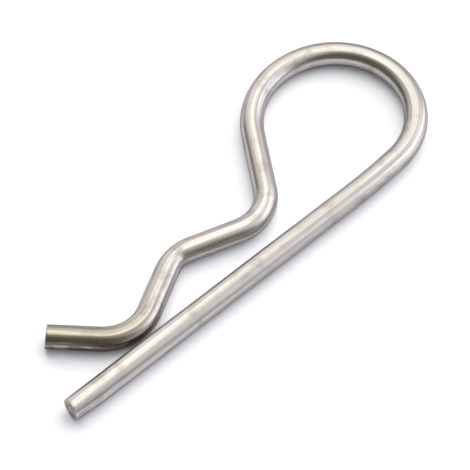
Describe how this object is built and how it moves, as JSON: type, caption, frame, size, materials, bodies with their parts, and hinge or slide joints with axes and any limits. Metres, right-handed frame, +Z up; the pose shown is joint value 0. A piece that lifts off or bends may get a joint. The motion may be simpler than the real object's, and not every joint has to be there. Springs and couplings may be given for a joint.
{
  "type": "hitch pin clip",
  "caption": "Spring clip of bent round wire: a straight leg, a wide eye and a wavy grip leg with a flared tail, for locking a hitch pin through its cross hole.",
  "frame": {"origin": "centre of the outline, on the surface that the clip lies on", "axes": "+X along the straight leg, from its tip towards the eye; +Y from the straight leg towards the grip; +Z up, square to the clip's plane"},
  "size_m": [0.086, 0.0312, 0.004],
  "materials": {
    "spring_wire": "bright drawn wire, satin, with fine lengthwise drawing marks"
  },
  "bodies": {
    "root": {"clip_wire": "spring_wire"}
  },
  "joints": []
}
